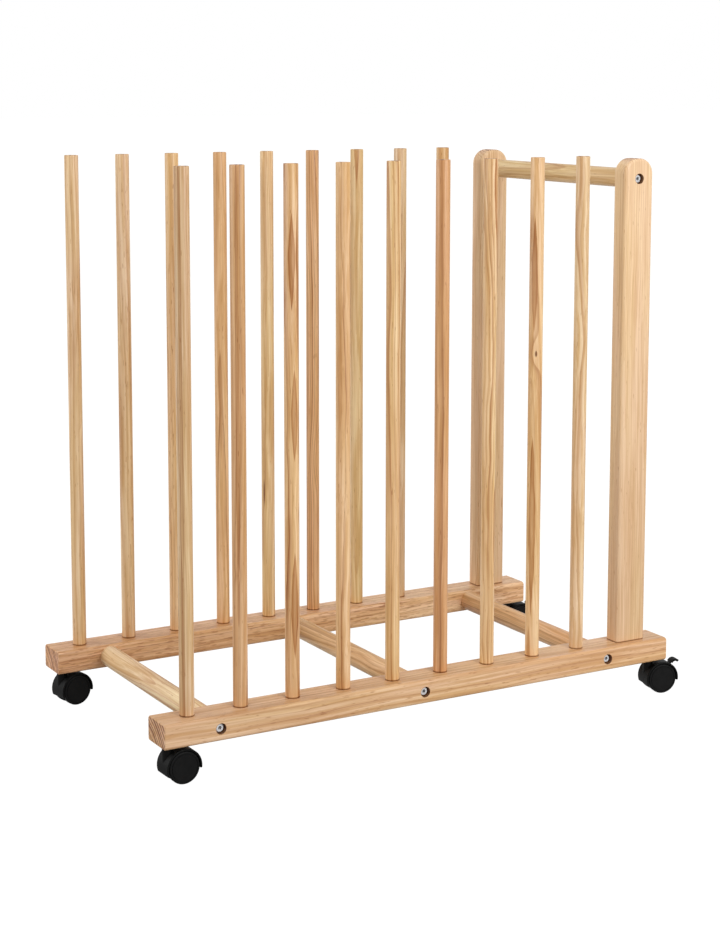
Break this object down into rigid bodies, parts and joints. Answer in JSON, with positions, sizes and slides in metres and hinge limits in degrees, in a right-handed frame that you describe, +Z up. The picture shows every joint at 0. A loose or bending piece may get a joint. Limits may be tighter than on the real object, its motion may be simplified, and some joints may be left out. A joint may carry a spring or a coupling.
{
  "type": "wheeled canvas and panel storage rack",
  "caption": "Wooden rack on swivel castors: rows of round uprights on a two-rail base hold canvases on edge, with a crossbar push handle at one end.",
  "frame": {"origin": "on the floor, under the middle of the wooden base (half way along the rails and half way between them)", "axes": "+Z up; +X along the rails towards the push handle and the braked castors; Y across the rack, with the front rail at -Y"},
  "size_m": [0.7304, 0.367, 0.69],
  "materials": {
    "pine_rail": "clear satin lacquer over straight-grained pine",
    "pine_upright": "clear satin lacquer over turned pine",
    "pine_post": "clear satin lacquer over straight-grained pine",
    "pine_bar": "clear satin lacquer over turned pine",
    "zinc_steel": "bright zinc plating",
    "castor_body": "satin black moulded nylon",
    "castor_wheel": "satin black moulded nylon"
  },
  "bodies": {
    "frame": {"front_rail": "pine_rail", "rear_rail": "pine_rail", "front_post": "pine_post", "rear_post": "pine_post", "crossbar": "pine_bar", "left_stretcher": "pine_bar", "middle_stretcher": "pine_bar", "right_stretcher": "pine_bar", "stretcher_bolts": "zinc_steel", "stretcher_inserts": "zinc_steel", "crossbar_bolts": "zinc_steel", "crossbar_inserts": "zinc_steel", "post_screws": "zinc_steel", "castor_inserts": "zinc_steel", "front_upright_1": "pine_upright", "front_upright_2": "pine_upright", "front_upright_3": "pine_upright", "front_upright_4": "pine_upright", "front_upright_5": "pine_upright", "front_upright_6": "pine_upright", "front_upright_7": "pine_upright", "front_upright_8": "pine_upright", "front_upright_9": "pine_upright", "rear_upright_1": "pine_upright", "rear_upright_2": "pine_upright", "rear_upright_3": "pine_upright", "rear_upright_4": "pine_upright", "rear_upright_5": "pine_upright", "rear_upright_6": "pine_upright", "rear_upright_7": "pine_upright", "rear_upright_8": "pine_upright", "rear_upright_9": "pine_upright", "front_left_stem": "zinc_steel", "rear_left_stem": "zinc_steel", "front_right_stem": "zinc_steel", "rear_right_stem": "zinc_steel"},
    "front_left_castor": {"front_left_hood": "castor_body", "front_left_axle": "zinc_steel"},
    "front_left_outer_wheel": {"front_left_outer_wheel": "castor_wheel"},
    "front_left_inner_wheel": {"front_left_inner_wheel": "castor_wheel"},
    "rear_left_castor": {"rear_left_hood": "castor_body", "rear_left_axle": "zinc_steel"},
    "rear_left_outer_wheel": {"rear_left_outer_wheel": "castor_wheel"},
    "rear_left_inner_wheel": {"rear_left_inner_wheel": "castor_wheel"},
    "front_right_castor": {"front_right_hood": "castor_body", "front_right_axle": "zinc_steel", "front_right_brake_pivot": "zinc_steel"},
    "front_right_outer_wheel": {"front_right_outer_wheel": "castor_wheel"},
    "front_right_inner_wheel": {"front_right_inner_wheel": "castor_wheel"},
    "front_right_brake": {"front_right_brake_lever": "castor_body", "front_right_brake_bar": "zinc_steel"},
    "rear_right_castor": {"rear_right_hood": "castor_body", "rear_right_axle": "zinc_steel", "rear_right_brake_pivot": "zinc_steel"},
    "rear_right_outer_wheel": {"rear_right_outer_wheel": "castor_wheel"},
    "rear_right_inner_wheel": {"rear_right_inner_wheel": "castor_wheel"},
    "rear_right_brake": {"rear_right_brake_lever": "castor_body", "rear_right_brake_bar": "zinc_steel"}
  },
  "joints": [
    {"name": "front_left_swivel", "type": "hinge", "parent": "frame", "child": "front_left_castor", "pos_m": [-0.3375, -0.1605, 0.019], "axis": [0, 0, 1], "continuous": true},
    {"name": "front_left_outer_wheel_spin", "type": "hinge", "parent": "front_left_castor", "child": "front_left_outer_wheel", "pos_m": [-0.322, -0.16009, 0.019], "axis": [-0.0262, 0.9997, 0], "continuous": true},
    {"name": "front_left_inner_wheel_spin", "type": "hinge", "parent": "front_left_castor", "child": "front_left_inner_wheel", "pos_m": [-0.322, -0.16009, 0.019], "axis": [-0.0262, 0.9997, 0], "continuous": true},
    {"name": "rear_left_swivel", "type": "hinge", "parent": "frame", "child": "rear_left_castor", "pos_m": [-0.3375, 0.1605, 0.019], "axis": [0, 0, 1], "continuous": true},
    {"name": "rear_left_outer_wheel_spin", "type": "hinge", "parent": "rear_left_castor", "child": "rear_left_outer_wheel", "pos_m": [-0.32219, 0.16292, 0.019], "axis": [-0.1564, 0.9877, 0], "continuous": true},
    {"name": "rear_left_inner_wheel_spin", "type": "hinge", "parent": "rear_left_castor", "child": "rear_left_inner_wheel", "pos_m": [-0.32219, 0.16292, 0.019], "axis": [-0.1564, 0.9877, 0], "continuous": true},
    {"name": "front_right_swivel", "type": "hinge", "parent": "frame", "child": "front_right_castor", "pos_m": [0.3375, -0.1605, 0.019], "axis": [0, 0, 1], "continuous": true},
    {"name": "front_right_outer_wheel_spin", "type": "hinge", "parent": "front_right_castor", "child": "front_right_outer_wheel", "pos_m": [0.35269, -0.16359, 0.019], "axis": [0.1994, 0.9799, 0], "continuous": true},
    {"name": "front_right_inner_wheel_spin", "type": "hinge", "parent": "front_right_castor", "child": "front_right_inner_wheel", "pos_m": [0.35269, -0.16359, 0.019], "axis": [0.1994, 0.9799, 0], "continuous": true},
    {"name": "front_right_brake_press", "type": "hinge", "parent": "front_right_castor", "child": "front_right_brake", "pos_m": [0.36245, -0.16558, 0.03087], "axis": [0.1994, 0.9799, 0], "range_deg": [0, 14]},
    {"name": "rear_right_swivel", "type": "hinge", "parent": "frame", "child": "rear_right_castor", "pos_m": [0.3375, 0.1605, 0.019], "axis": [0, 0, 1], "continuous": true},
    {"name": "rear_right_outer_wheel_spin", "type": "hinge", "parent": "rear_right_castor", "child": "rear_right_outer_wheel", "pos_m": [0.35296, 0.15942, 0.019], "axis": [0.0698, 0.9976, 0], "continuous": true},
    {"name": "rear_right_inner_wheel_spin", "type": "hinge", "parent": "rear_right_castor", "child": "rear_right_inner_wheel", "pos_m": [0.35296, 0.15942, 0.019], "axis": [0.0698, 0.9976, 0], "continuous": true},
    {"name": "rear_right_brake_press", "type": "hinge", "parent": "rear_right_castor", "child": "rear_right_brake", "pos_m": [0.3629, 0.15872, 0.03087], "axis": [0.0698, 0.9976, 0], "range_deg": [0, 14]}
  ]
}
